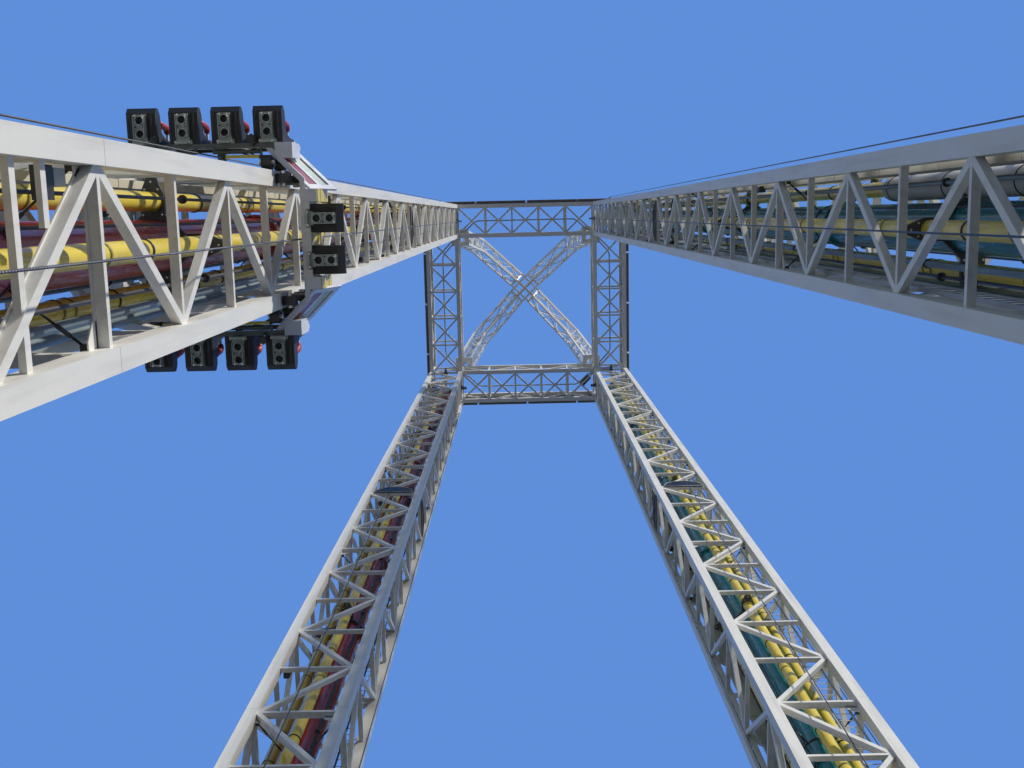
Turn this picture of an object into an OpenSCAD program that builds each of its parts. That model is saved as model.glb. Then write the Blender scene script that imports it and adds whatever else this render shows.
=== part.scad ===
// Four tower drop ride, at one tenth of its real size, in millimetres, +Z up.
// The origin is on the ground at the centre of the four towers.
// Front is the -Y side, left is the -X side.

/* [Towers] */
// distance between the axes of neighbouring towers
tower_pitch = 1113; // [900:1:1400]
// outside width of a tower, over its posts
tower_w = 220; // [200:1:230]
// side of a square post
post_w = 25; // [18:1:30]
// height of the level that the lattice panels are counted from
base_z = 30; // [26:1:60]
// height of one lattice panel
panel_h = 227.7; // [200:0.1:240]
// lattice panels below the ring of beams at the top
panel_n = 32; // [24:2:32]
// width of the diagonals that brace the towers, and depth of all bracing bars
brace_w = 11; // [8:0.5:14]
// height of the bars across that brace the towers
strut_w = 7.5; // [6:0.5:12]

/* [Feet] */
// side of a square foot plate
foot_w = 60; // [50:1:80]
// thickness of a foot plate
foot_t = 6; // [4:0.5:10]
// spacing of the four anchor holes of a foot plate
anchor_pitch = 46; // [40:1:50]
// diameter of an anchor hole
anchor_d = 4.4; // [3:0.1:6]

/* [Panels on the towers] */
// radius of the half-round panels half way up
panel_r = 74; // [50:1:80]
// lattice level that carries the half-round panels
panel_level = 18; // [4:1:24]

/* [Air receivers and launch cylinders] */
// outside diameter of the air receiver on the axis of a tower
air_d = 72; // [50:1:76]
// outside diameter of a launch cylinder
cyl_d = 26; // [20:1:30]
// distance of a launch cylinder axis from the tower axis
cyl_off = 60; // [58:0.5:64]
// height of the bottom end of the launch cylinders
cyl_z0 = 122; // [116:1:200]
// clearance between the top end of the cylinders and the ring beams
cyl_top_gap = 180; // [120:5:400]
// lattice panels from one clamp plate to the next
clamp_every = 6; // [4:1:10]
// lattice panels from one pipe flange to the next on the air receivers
flange_every = 6; // [4:1:10]

/* [Haul cables] */
// diameter of a haul cable
cable_d = 2.6; // [2:0.2:4]
// distance of a haul cable from the tower face
cable_off = 27; // [22:0.5:28]

/* [Ring of beams] */
// side of the square chords of the ring beams
ring_chord = 25; // [18:1:30]
// lattice panels along one ring beam
ring_n = 5; // [3:1:6]
// thickness of the boards round the ring
board_t = 18; // [10:1:24]
// gap between neighbouring boards
board_gap = 9; // [4:1:20]

/* [Peak] */
// height of the axes of the arms where they meet at the peak
peak_z = 8920; // [8850:10:9000]
// distance from the centre of the axis of an arm at its kink
kink_r = 510; // [470:5:560]
// height of the kink, as a share of the way from the arm's foot to the peak
kink_share = 0.68; // [0.6:0.01:0.75]
// distance from the centre of the axis of an arm at its foot
foot_r = 630; // [620:1:636]
// outside width of a square peak arm
arm_w = 100; // [90:1:104]
// side of the square chords of a peak arm
arm_chord = 14; // [10:1:16]
// side of the lacing bars of a peak arm
arm_lace = 7; // [5:0.5:9]
// lattice panels along the steep part of an arm
steep_n = 7; // [5:1:10]
// lattice panels along the upper part of an arm
upper_n = 4; // [3:1:6]

/* [Cars] */
// height of the seats above the ground on the raised car
raised_z = 1890; // [300:10:5000]
// height of the seats above the ground on the cars at the boarding level
board_z = 60; // [55:1:100]
// distance of the front and back seat rows from the tower axis
row_y = 184; // [180:1:200]
// distance of the side seat rows from the tower axis
row_x = 185; // [180:1:200]
// distance between neighbouring seats
seat_pitch = 67; // [60:1:70]
// width of one seat
seat_w = 46; // [42:1:52]
// depth of a seat from the car frame to its front edge
seat_l = 58; // [54:1:62]
// height of a seat back
back_h = 92; // [80:1:100]
// side of the square tubes of the car frame
car_tube = 8; // [6:0.5:10]
// height of the car frame
car_h = 104; // [98:1:112]
// size of the slanted corners of the car frame, measured along its sides
corner_cut = 52; // [44:1:56]
// outward lean of the striped corner panels, in degrees
panel_lean = 12; // [0:1:16]
// diameter of a guide wheel
wheel_d = 24; // [18:1:26]
// gap between a guide wheel and its post
wheel_gap = 0.5; // [0.3:0.1:1]
// gap between a haul cable and the block on the car
cable_gap = 0.5; // [0.3:0.1:1]

/* [Restraints] */
// diameter of a restraint hinge shaft
shaft_d = 6; // [5:0.5:7]
// gap all round a hinge shaft in its ears
shaft_gap = 0.5; // [0.3:0.1:1]

/* [Hidden] */
half = tower_pitch/2;
hw = tower_w/2;
post_c = hw - post_w/2;
ring_z0 = base_z + panel_n*panel_h;
ring_z1 = ring_z0 + panel_h;
post_top = ring_z1 + post_w/2;
ring_len = tower_pitch - tower_w;
ring_pitch = ring_len/ring_n;
cyl_z1 = ring_z0 - cyl_top_gap;
cable_r = hw + cable_off;
sheave_d = cable_r - cyl_off - cable_d;
sheave_c = (cable_r + cyl_off)/2;
sheave_rim = sheave_d/2 + 2.5;
sheave_z0 = foot_t + strut_w + sheave_rim + 6;
sheave_z1 = ring_z0 - strut_w/2 - sheave_rim - 8;
TOWERS = [[-1, -1], [1, -1], [-1, 1], [1, 1]];

// Height of lattice level k.
function level(k) = base_z + k*panel_h;

// Box centred in X and Y that stands on z0.
module block(x, y, z, sx, sy, sz) {
    translate([x - sx/2, y - sy/2, z]) cube([sx, sy, sz]);
}

// Round bar along Z.
module round_z(x, y, z, d, h) {
    translate([x, y, z]) cylinder(d = d, h = h, $fn = 12);
}

// Flat lattice in the XY plane, from level to level along Y: a bar across at each
// level and one diagonal in each panel. The first diagonal starts at side m, 1 or -1.
module lattice_2d(levels, wide, bar, across, m) {
    n = len(levels) - 1;
    a = across/2;
    o = wide/2 + 1;
    difference() {
        translate([-wide/2, levels[0] - a]) square([wide, levels[n] - levels[0] + across]);
        for (i = [0:n - 1]) translate([0, (levels[i] + levels[i + 1])/2]) {
            ph = levels[i + 1] - levels[i];
            u = i % 2 == 0 ? m : -m;
            s = ph/wide;
            k = bar/2*sqrt(1 + s*s);
            x1 = (ph/2 - a - k)/s;
            for (v = [-1, 1]) polygon([
                [v*u*o, v*max(k - s*o, a - ph/2)],
                [v*u*o, v*(ph/2 - a)],
                [-v*u*x1, v*(ph/2 - a)]
            ]);
        }
    }
}

// Zigzag lattice without bars across, on even levels along Y.
module zigzag_2d(levels, wide, bar, m) {
    n = len(levels) - 1;
    s = (levels[1] - levels[0])/wide;
    k = bar/2*sqrt(1 + s*s);
    o = wide/2 + 1;
    difference() {
        translate([-wide/2, levels[0]]) square([wide, levels[n] - levels[0]]);
        for (i = [1:n - 1]) translate([0, levels[i]]) {
            u = i % 2 == 0 ? m : -m;
            e = s*(o + wide/2) - k;
            polygon([[-u*(k/s - wide/2), 0], [-u*o, e], [-u*o, -e]]);
        }
    }
}

// Two crossed diagonals in each panel, and a bar across at every panel point.
module cross_lattice_2d(wide, tall, n, bar) {
    ph = tall/n;
    s = ph/wide;
    k = bar/2*sqrt(1 + s*s);
    a = bar/2;
    difference() {
        translate([-wide/2, -a]) square([wide, tall + 2*a]);
        for (i = [0:n - 1]) translate([0, i*ph]) {
            for (m = [-1, 1]) {
                polygon([
                    [m*(wide/2 + 1), k - s*1 < 0 ? k : k - s],
                    [m*(wide/2 + 1), ph - k + s],
                    [m*k/s, ph/2]
                ]);
            }
            polygon([[-(ph/2 - a - k)/s, a], [(ph/2 - a - k)/s, a], [0, ph/2 - k]]);
            polygon([[-(ph/2 - a - k)/s, ph - a], [(ph/2 - a - k)/s, ph - a], [0, ph/2 + k]]);
        }
    }
}

// Towers.
module tower_posts() {
    color("white") for (t = TOWERS, x = [-1, 1], y = [-1, 1])
        block(t[0]*half + x*post_c, t[1]*half + y*post_c, foot_t, post_w, post_w, post_top - foot_t);
}

// One flat side stands in each face, between the posts.
module bracing(t) {
    levels = concat([foot_t + strut_w/2], [for (k = [1:panel_n + 1]) level(k)]);
    color("white") translate([t[0]*half, t[1]*half, 0])
        for (i = [0:3]) rotate([0, 0, 90*i])
            translate([0, -post_c + brace_w/2, 0]) rotate([90, 0, 0])
                linear_extrude(height = brace_w)
                    lattice_2d(levels, tower_w - 2*post_w, brace_w, strut_w, i % 2 == 0 ? -1 : 1);
}

module foot_plates() {
    color("silver") for (t = TOWERS, x = [-1, 1], y = [-1, 1])
        translate([t[0]*half + x*post_c, t[1]*half + y*post_c, 0]) difference() {
            block(0, 0, 0, foot_w, foot_w, foot_t);
            for (u = [-1, 1], v = [-1, 1])
                translate([u*anchor_pitch/2, v*anchor_pitch/2, -1])
                    cylinder(d = anchor_d, h = foot_t + 2, $fn = 32);
        }
}

// An air receiver on the axis of each tower: one long pipe with a base and flanges.
module air_receiver(t) {
    translate([t[0]*half, t[1]*half, 0]) rotate_extrude($fn = 48) polygon(concat(
        [[0, 0], [air_d/2 + 10, 0], [air_d/2 + 10, 6], [air_d/2, 6]],
        [for (k = [3:flange_every:panel_n - 2], p = [[0, -4], [7, -4], [7, 4], [0, 4]])
            [air_d/2 + p[0], level(k + 0.5) + p[1]]],
        [[air_d/2, cyl_z1 - air_d/6], [air_d/3, cyl_z1], [0, cyl_z1]]
    ));
}

module red_air_receivers() {
    color("firebrick") for (t = TOWERS) if (t[0] < 0) air_receiver(t);
}

module teal_air_receivers() {
    color("teal") for (t = TOWERS) if (t[0] > 0) air_receiver(t);
}

// Four launch cylinders round each receiver, with a head at both ends.
module launch_cylinders() {
    head = 14;
    color("gold") for (t = TOWERS, i = [0:3])
        translate([t[0]*half, t[1]*half, 0]) rotate([0, 0, 90*i]) translate([0, -cyl_off, 0])
            rotate_extrude($fn = 24) polygon([
                [0, cyl_z0], [cyl_d/2 + 2, cyl_z0], [cyl_d/2 + 2, cyl_z0 + head],
                [cyl_d/2, cyl_z0 + head], [cyl_d/2, cyl_z1 - head],
                [cyl_d/2 + 2, cyl_z1 - head], [cyl_d/2 + 2, cyl_z1], [0, cyl_z1]
            ]);
}

// Plates on crossed beams that carry the receiver and the cylinders between the sides.
module clamp_plates() {
    span = 2*post_c - brace_w;
    color("dimgray") for (t = TOWERS, k = [1:clamp_every:panel_n - 1])
        translate([t[0]*half, t[1]*half, level(k) - strut_w/2])
            linear_extrude(height = strut_w) difference() {
                union() {
                    for (i = [0:3]) rotate(90*i) polygon([
                        [0, -cyl_d/2 - 3], [cyl_off + 10, -cyl_d/2 - 3], [span/2, -6],
                        [span/2, 6], [cyl_off + 10, cyl_d/2 + 3], [0, cyl_d/2 + 3]
                    ]);
                    rotate(22.5) circle(d = (air_d + 10)/cos(22.5), $fn = 8);
                }
                circle(d = air_d, $fn = 48);
                for (i = [0:3]) rotate(90*i) translate([cyl_off, 0]) circle(d = cyl_d, $fn = 24);
            }
}

module haul_cables() {
    color("dimgray") for (t = TOWERS, i = [0:3])
        translate([t[0]*half, t[1]*half, 0]) rotate([0, 0, 90*i])
            round_z(0, -cable_r, sheave_z0, cable_d, sheave_z1 - sheave_z0);
}

// A grooved sheave between two cheeks, in the middle of each face: one row hangs
// under the ring, the other stands on the lowest bars.
module sheave(z, up) {
    reach = sheave_rim + (up > 0 ? 8 : 6);
    translate([0, -sheave_c, z]) {
        rotate([0, 90, 0]) {
            rotate_extrude($fn = 24) polygon([
                [0, -5], [sheave_rim, -5], [sheave_d/2, -2.4],
                [sheave_d/2, 2.4], [sheave_rim, 5], [0, 5]
            ]);
            translate([0, 0, -9]) cylinder(d = 14, h = 18, $fn = 24);
        }
        for (x = [-1, 1]) translate([x*10 - 2, -8, up > 0 ? -8 : -reach]) cube([4, 16, reach + 8]);
    }
}

module cable_sheaves() {
    color("dimgray") for (t = TOWERS, i = [0:3])
        translate([t[0]*half, t[1]*half, 0]) rotate([0, 0, 90*i]) {
            sheave(sheave_z1, 1);
            sheave(sheave_z0, -1);
        }
}

// Dark half-round panels on a bar across, half way up the tower faces.
module status_panels() {
    color("black") for (t = TOWERS, i = [0:3])
        translate([t[0]*half, t[1]*half, level(panel_level)]) rotate([0, 0, 90*i])
            translate([0, -post_c - brace_w/2, 0]) rotate([90, 0, 0]) linear_extrude(height = 4)
                intersection() {
                    circle(r = panel_r, $fn = 24);
                    translate([-panel_r - 1, 0]) square([2*panel_r + 2, panel_r + 2]);
                }
}

// Ring beams: four chords each, zigzag sides, cross-braced below, struts above.
module ring_beam() {
    levels = [for (k = [0:ring_n]) k*ring_pitch];
    for (y = [-1, 1], z = [ring_z0, ring_z1])
        translate([-ring_len/2, y*post_c - ring_chord/2, z - ring_chord/2])
            cube([ring_len, ring_chord, ring_chord]);
    for (y = [-1, 1])
        translate([-ring_len/2, y*post_c + brace_w/2, ring_z0 + panel_h/2]) rotate([90, 0, 0])
            linear_extrude(height = brace_w) rotate([0, 0, -90])
                lattice_2d(levels, panel_h - ring_chord + 1, brace_w, brace_w, 1);
    translate([-ring_len/2, 0, ring_z0 - brace_w/2]) linear_extrude(height = brace_w)
        rotate([0, 0, -90])
            cross_lattice_2d(tower_w - 2*ring_chord + 1, ring_len, ring_n, brace_w);
    for (k = [1:ring_n - 1])
        translate([-ring_len/2 + k*ring_pitch - brace_w/2, ring_chord/2 - post_c - 1, ring_z1 - brace_w/2])
            cube([brace_w, 2*post_c - ring_chord + 2, brace_w]);
}

module ring_beams() {
    color("white") for (i = [0:3]) rotate([0, 0, 90*i]) translate([0, -half, 0])
        intersection() {
            ring_beam();
            translate([-ring_len/2, -tower_w, ring_z0 - tower_w]) cube([ring_len, 2*tower_w, 3*tower_w]);
        }
}

// Blank boards round the outside of the ring, four to a side.
module sign_boards() {
    pitch = (tower_pitch + tower_w + board_t)/4;
    color("black") for (i = [0:3], k = [0:3]) rotate([0, 0, 90*i])
        translate([-half - hw + k*pitch + board_gap/2, -half - hw - board_t, ring_z0 + 10])
            cube([pitch - board_gap, board_t, panel_h - 20]);
}

// Peak. Each arm stands on a tower corner, kinks inward and ends upright at the hub.
arm_z0 = post_top + 10;
kink_z = arm_z0 + kink_share*(peak_z - arm_z0);
hub_r = arm_w/sqrt(2) + arm_chord + 10;
steep_a = atan2(kink_z - arm_z0, kink_r - foot_r);
upper_a = atan2(peak_z - kink_z, hub_r - kink_r);
mitre_a = (steep_a + upper_a)/2 - 90;
chord_r = (arm_w - arm_chord)/sqrt(2);
hub_rise = chord_r/cos(180 - upper_a);

// Straight box truss along Z, turned so that one chord is the lowest when it leans.
module arm_truss(len, n) {
    extra = len/n;
    levels = [for (k = [-1:n + 1]) k*extra];
    rotate([0, 0, 45]) {
        for (x = [-1, 1], y = [-1, 1])
            block(x*(arm_w - arm_chord)/2, y*(arm_w - arm_chord)/2, -extra, arm_chord, arm_chord,
                len + 2*extra);
        for (i = [0:3]) rotate([0, 0, 90*i])
            translate([0, -(arm_w - arm_chord)/2 + arm_lace/2, 0]) rotate([90, 0, 0])
                linear_extrude(height = arm_lace)
                    zigzag_2d(levels, arm_w - 2*arm_chord + 1, arm_lace, i % 2 == 0 ? -1 : 1);
    }
}

// Diamond frame that ties the four chords, in the plane Z = 0.
module diamond(rx, ry, bar, t) {
    linear_extrude(height = t) difference() {
        polygon([[rx + bar, 0], [0, ry + bar], [-rx - bar, 0], [0, -ry - bar]]);
        polygon([[rx - bar, 0], [0, ry - bar], [-rx + bar, 0], [0, -ry + bar]]);
    }
}

// Prism across the plane of an arm: its outline is given in distance and height.
module arm_region(outline) {
    rotate([90, 0, 0]) linear_extrude(height = 2*arm_w, center = true) polygon(outline);
}

module arm() {
    m = 150*[cos(mitre_a), sin(mitre_a)];
    k = [kink_r, kink_z];
    intersection() {
        translate([foot_r, 0, arm_z0]) rotate([0, 90 - steep_a, 0])
            arm_truss(norm([kink_r - foot_r, kink_z - arm_z0]), steep_n);
        arm_region([k + m, k - m, [foot_r - 250, arm_z0 - 1], [foot_r + 150, arm_z0 - 1]]);
    }
    intersection() {
        translate([kink_r, 0, kink_z]) rotate([0, 90 - upper_a, 0])
            arm_truss(norm([hub_r - kink_r, peak_z - kink_z]), upper_n);
        arm_region([k + m, k - m, [hub_r, peak_z - 220], [hub_r, peak_z + 260]]);
    }
    translate([kink_r, 0, kink_z]) rotate([0, -mitre_a, 0]) translate([0, 0, -4])
        diamond(chord_r/cos(mitre_a + 90 - steep_a), chord_r, 4, 8);
    translate([hub_r, 0, peak_z]) rotate([0, 90, 0]) diamond(hub_rise, chord_r, 4, 8);
    translate([foot_r, 0, post_top]) rotate([0, 0, 45]) difference() {
        block(0, 0, 0, arm_w + 16, arm_w + 16, 10);
        block(0, 0, -1, arm_w - 3*arm_chord, arm_w - 3*arm_chord, 12);
    }
}

module peak_arms() {
    color("white") for (i = [0:3]) rotate([0, 0, 45 + 90*i]) arm();
}

// Crossing of the arms: level chords, a king post and four end frames.
module peak_hub() {
    c = arm_chord;
    color("white") rotate([0, 0, 45]) translate([0, 0, peak_z]) {
        for (a = [0, 90]) rotate([0, 0, a]) {
            for (z = [-1, 1]) block(0, 0, z*hub_rise - c/2, 2*hub_r, c, c);
            for (y = [-1, 1]) block(0, y*chord_r, -c/2, 2*hub_r, c, c);
        }
        block(0, 0, -hub_rise, c, c, 2*hub_rise);
        for (i = [0:3]) rotate([0, 0, 90*i]) translate([hub_r - 8, 0, 0]) rotate([0, 90, 0])
            diamond(hub_rise, chord_r, 4, 8);
    }
}

// Cars. Each row is drawn as the front row and turned round the tower axis.
ROWS = [[0, 4, row_y], [90, 2, row_x], [180, 4, row_y], [270, 2, row_x]];
seat_back = 26;
hinge_z = back_h + 6;
frame_y = row_y - 38;
frame_x = row_x - 38;
beam_l = 3*seat_pitch + 61;
function car_z(t) = (t[0] < 0 && t[1] < 0) ? raised_z : board_z;

module place_car(t) {
    translate([t[0]*half, t[1]*half, car_z(t)]) children();
}

// Outline of the car frame, larger by g all round: a rectangle with slanted corners.
module car_outline(g) {
    x = frame_x - corner_cut + g*tan(22.5);
    y = frame_y - corner_cut + g*tan(22.5);
    polygon([
        [-x, -frame_y - g], [x, -frame_y - g], [frame_x + g, -y], [frame_x + g, y],
        [x, frame_y + g], [-x, frame_y + g], [-frame_x - g, y], [-frame_x - g, -y]
    ]);
}

// One level of the frame: the ring, with the beams of the long rows run out past it.
module car_ring(z) {
    translate([0, 0, z]) linear_extrude(height = car_tube) {
        difference() {
            car_outline(car_tube);
            car_outline(0);
        }
        for (y = [-frame_y - car_tube, frame_y]) translate([-beam_l/2, y]) square([beam_l, car_tube]);
    }
}

// Guide wheels on the outer faces of the posts, in forks on the frame.
module guide_wheels(z) {
    r = wheel_d/2;
    for (i = [0:3], x = [-1, 1]) rotate([0, 0, 90*i])
        translate([x*post_c, -hw - wheel_gap - r, z + car_tube/2]) rotate([0, 90, 0]) {
            translate([0, 0, -7]) cylinder(r = r, h = 14, $fn = 12);
            translate([0, 0, -8.5]) cylinder(d = 6, h = 17, $fn = 4);
        }
    translate([0, 0, z]) linear_extrude(height = car_tube) intersection() {
        for (i = [0:3], x = [-1, 1], u = [-1, 1]) rotate([0, 0, 90*i])
            translate([x*post_c + u*9.5 - 1.5, -180]) square([3, 180 - hw - 7]);
        car_outline(car_tube/2);
    }
}

// Blocks that the haul cables run through, in the middle of each side.
module cable_blocks(z) {
    translate([0, 0, z]) linear_extrude(height = car_tube) intersection() {
        for (i = [0:3]) rotate([0, 0, 90*i]) difference() {
            translate([-7, -180]) square([14, 180 - cable_r + 6]);
            translate([0, -cable_r]) circle(r = (cable_d/2 + cable_gap)/cos(15), $fn = 12);
        }
        car_outline(car_tube/2);
    }
}

// Striped panel across a slanted corner: two long slots in a flat plate that leans
// out, with its ends square to the side rows, and a tie to the upper ring.
module corner_panel() {
    long = (frame_y - 83)*sqrt(2);
    tall = car_h - 8;
    translate([frame_x - corner_cut + 4, 3 - frame_y, 3]) rotate([0, 0, 45]) {
        rotate([panel_lean, 0, 0]) translate([0, 2, 0]) rotate([90, 0, 0])
            linear_extrude(height = 4) difference() {
                slanted(0, long, 0, tall);
                slanted(10, long - 10, 12, tall/2 - 8);
                slanted(10, long - 10, tall/2 + 6, tall - 14);
            }
        block(long/2, -13, car_h - car_tube - 3, car_tube, 14, car_tube);
    }
}

// Four-sided figure from x0 to x1 and y0 to y1 that leans along X as the panel leans.
module slanted(x0, x1, y0, y1) {
    s = sin(panel_lean);
    polygon([[x0 + y0*s, y0], [x1 + y0*s, y0], [x1 + y1*s, y1], [x0 + y1*s, y1]]);
}

module car_frame(t) {
    color("white") place_car(t) {
        for (z = [0, car_h - car_tube]) {
            car_ring(z);
            guide_wheels(z);
        }
        cable_blocks(car_h - car_tube);
        for (x = [0, 1], y = [0, 1]) mirror([x, 0, 0]) mirror([0, y, 0]) {
            corner_panel();
            block(125, -frame_y - car_tube + 12, -3, 28, 24, 60);
            block(162, -70, -3, 24, 20, 60);
            block(60, -frame_y - car_tube/2, 0, car_tube, car_tube, car_h);
            block(frame_x + car_tube/2, -70, 50, car_tube, car_tube, car_h - 50);
        }
    }
}

// One seat shell: a tub cut out of a curved side outline, with the two ears of its
// restraint hinge.
module seat() {
    translate([0, -frame_y - car_tube, 0]) difference() {
        union() {
            difference() {
                seat_prism(seat_w, [
                    [0, 4], [seat_l - 8, 4], [seat_l, 11], [seat_l, 20], [seat_l - 9, 28],
                    [20, 33], [11, 56], [9, back_h], [0, back_h]
                ]);
                seat_prism(seat_w - 10, [
                    [seat_l + 9, 18], [16, 12], [8.5, 22], [6.5, back_h + 1], [seat_l + 9, back_h + 1]
                ]);
            }
            for (x = [-1, 1]) translate([x*20 - 2, -9, back_h - 1]) cube([4, 9, 12]);
        }
        translate([-seat_w, -4.5, hinge_z]) rotate([0, 90, 0]) rotate([0, 0, 22.5])
            cylinder(r = (shaft_d/2 + shaft_gap)/cos(22.5), h = 2*seat_w, $fn = 8);
    }
}

// Prism across a seat: its outline is given in depth from the frame and height.
module seat_prism(w, outline) {
    rotate([0, 0, -90]) rotate([90, 0, 0]) linear_extrude(height = w, center = true) polygon(outline);
}

module in_rows() {
    for (r = ROWS) rotate([0, 0, r[0]]) translate([0, -(r[2] - row_y), 0])
        for (i = [0:r[1] - 1]) translate([(i - (r[1] - 1)/2)*seat_pitch, 0, 0]) children();
}

module seats(t) {
    color("black") place_car(t) in_rows() seat();
}

// Cast bracket that carries a seat: two large round holes and a foot on the frame.
module seat_bracket() {
    y0 = -frame_y - car_tube;
    translate([0, y0, -1]) linear_extrude(height = 5) difference() {
        union() {
            translate([-9, -48]) square([18, 48]);
            polygon([[-14, 0], [-14, -5], [-9, -12], [9, -12], [14, -5], [14, 0]]);
        }
        for (y = [17, 38]) translate([0, -y]) circle(d = 13, $fn = 24);
    }
    translate([-9, y0 - 4, -14]) cube([18, 4, 14]);
}

module seat_brackets(t) {
    color("silver") place_car(t) in_rows() seat_bracket();
}

// Over-the-shoulder restraints of one row, on one hinge shaft.
module restraint_row(t, r) {
    n = ROWS[r][1];
    y0 = -frame_y - car_tube - 4.5 - (ROWS[r][2] - row_y);
    reach = (n - 1)*seat_pitch/2 + 24;
    chest = seat_l/2;
    color("firebrick") place_car(t) rotate([0, 0, ROWS[r][0]]) translate([0, y0, hinge_z]) {
        translate([-reach, 0, 0]) rotate([0, 90, 0]) rotate([0, 0, 22.5])
            cylinder(d = shaft_d, h = 2*reach, $fn = 8);
        for (i = [0:n - 1]) translate([(i - (n - 1)/2)*seat_pitch, 0, 0]) {
            for (x = [-1, 1]) translate([x*11, 0, 0]) {
                seat_prism(5, [
                    [-2, -2], [8, 6], [chest, 6], [chest + 7, -50], [chest + 2, -50],
                    [chest - 3, 1], [9, 1], [2, -3]
                ]);
                seat_prism(10, [[20, 8], [chest, 8], [chest + 7, -38], [chest - 4, -38]]);
            }
            translate([-13, -chest - 7, -50]) cube([26, 5, 6]);
        }
    }
}

tower_posts();
foot_plates();
bracing(TOWERS[0]);  // front_left_bracing
bracing(TOWERS[1]);  // front_right_bracing
bracing(TOWERS[2]);  // back_left_bracing
bracing(TOWERS[3]);  // back_right_bracing
launch_cylinders();
red_air_receivers();
teal_air_receivers();
clamp_plates();
haul_cables();
cable_sheaves();
status_panels();
ring_beams();
sign_boards();
peak_arms();
peak_hub();
car_frame(TOWERS[0]);  // front_left_car_frame
seats(TOWERS[0]);  // front_left_seats
seat_brackets(TOWERS[0]);  // front_left_seat_brackets
restraint_row(TOWERS[0], 0);  // front_left_front_restraints
restraint_row(TOWERS[0], 2);  // front_left_back_restraints
restraint_row(TOWERS[0], 3);  // front_left_left_restraints
restraint_row(TOWERS[0], 1);  // front_left_right_restraints
car_frame(TOWERS[1]);  // front_right_car_frame
seats(TOWERS[1]);  // front_right_seats
seat_brackets(TOWERS[1]);  // front_right_seat_brackets
restraint_row(TOWERS[1], 0);  // front_right_front_restraints
restraint_row(TOWERS[1], 2);  // front_right_back_restraints
restraint_row(TOWERS[1], 3);  // front_right_left_restraints
restraint_row(TOWERS[1], 1);  // front_right_right_restraints
car_frame(TOWERS[2]);  // back_left_car_frame
seats(TOWERS[2]);  // back_left_seats
seat_brackets(TOWERS[2]);  // back_left_seat_brackets
restraint_row(TOWERS[2], 0);  // back_left_front_restraints
restraint_row(TOWERS[2], 2);  // back_left_back_restraints
restraint_row(TOWERS[2], 3);  // back_left_left_restraints
restraint_row(TOWERS[2], 1);  // back_left_right_restraints
car_frame(TOWERS[3]);  // back_right_car_frame
seats(TOWERS[3]);  // back_right_seats
seat_brackets(TOWERS[3]);  // back_right_seat_brackets
restraint_row(TOWERS[3], 0);  // back_right_front_restraints
restraint_row(TOWERS[3], 2);  // back_right_back_restraints
restraint_row(TOWERS[3], 3);  // back_right_left_restraints
restraint_row(TOWERS[3], 1);  // back_right_right_restraints
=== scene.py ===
import math
import bmesh
import bpy
from mathutils import Matrix, Vector


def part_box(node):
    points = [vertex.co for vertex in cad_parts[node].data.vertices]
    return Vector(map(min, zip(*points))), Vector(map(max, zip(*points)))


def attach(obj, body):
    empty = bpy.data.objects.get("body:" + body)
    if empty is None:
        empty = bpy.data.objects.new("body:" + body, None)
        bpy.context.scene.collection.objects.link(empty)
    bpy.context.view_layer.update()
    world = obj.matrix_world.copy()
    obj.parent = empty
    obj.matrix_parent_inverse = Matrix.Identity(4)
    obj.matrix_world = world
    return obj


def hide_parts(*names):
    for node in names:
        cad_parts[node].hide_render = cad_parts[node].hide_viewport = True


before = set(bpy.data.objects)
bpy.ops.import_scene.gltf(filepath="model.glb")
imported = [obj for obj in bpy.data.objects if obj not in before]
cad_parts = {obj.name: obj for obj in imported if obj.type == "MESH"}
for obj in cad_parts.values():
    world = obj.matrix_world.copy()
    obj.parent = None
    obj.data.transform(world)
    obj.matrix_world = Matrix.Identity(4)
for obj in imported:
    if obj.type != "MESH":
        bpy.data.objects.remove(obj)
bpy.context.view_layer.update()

# Camera. It stands on the ground among the four towers and looks straight up, as the
# photograph does. The matrix columns are the image's right, up and back directions.
lens = bpy.data.cameras.new("view_camera")
lens.lens = 37.451
lens.sensor_width = 36.0
lens.clip_end = 60.0
camera = bpy.data.objects.new("view_camera", lens)
bpy.context.collection.objects.link(camera)
camera.matrix_world = Matrix((
    (0.9998, 0.0211, 0.0065, -0.06555),
    (0.0219, -0.9875, -0.1563, -0.58753),
    (0.0031, 0.1563, -0.9877, 0.16),
    (0.0, 0.0, 0.0, 1.0),
))
bpy.context.scene.camera = camera

# Studio. A plain blue surround, one warm lamp from the front right and from above, and
# a plain pale floor. The camera and reflections see their full colours, and the light
# that they throw on the ride is dimmer.
bpy.context.scene.view_settings.view_transform = "Standard"
world = bpy.data.worlds.new("studio")
bpy.context.scene.world = world
world.use_nodes = True
sky = world.node_tree.nodes
sky_links = world.node_tree.links
glow = sky["Background"]
glow.inputs["Color"].default_value = (0.60, 0.77, 1.0, 1.0)
glow.inputs["Strength"].default_value = 0.40
seen = sky.new("ShaderNodeBackground")
seen.inputs["Color"].default_value = (0.115, 0.275, 0.70, 1.0)
seen.inputs["Strength"].default_value = 1.0


def seen_rays(nodes, links):
    """1 for what the camera sees directly, in a reflection or through glass."""
    rays = nodes.new("ShaderNodeLightPath")
    total = rays.outputs["Is Camera Ray"]
    for name in ("Is Glossy Ray", "Is Transmission Ray"):
        add = nodes.new("ShaderNodeMath")
        add.operation = "MAXIMUM"
        links.new(total, add.inputs[0])
        links.new(rays.outputs[name], add.inputs[1])
        total = add.outputs["Value"]
    return total


pick = sky.new("ShaderNodeMixShader")
sky_links.new(seen_rays(sky, sky_links), pick.inputs["Fac"])
sky_links.new(glow.outputs["Background"], pick.inputs[1])
sky_links.new(seen.outputs["Background"], pick.inputs[2])
sky_links.new(pick.outputs["Shader"], sky["World Output"].inputs["Surface"])

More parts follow.
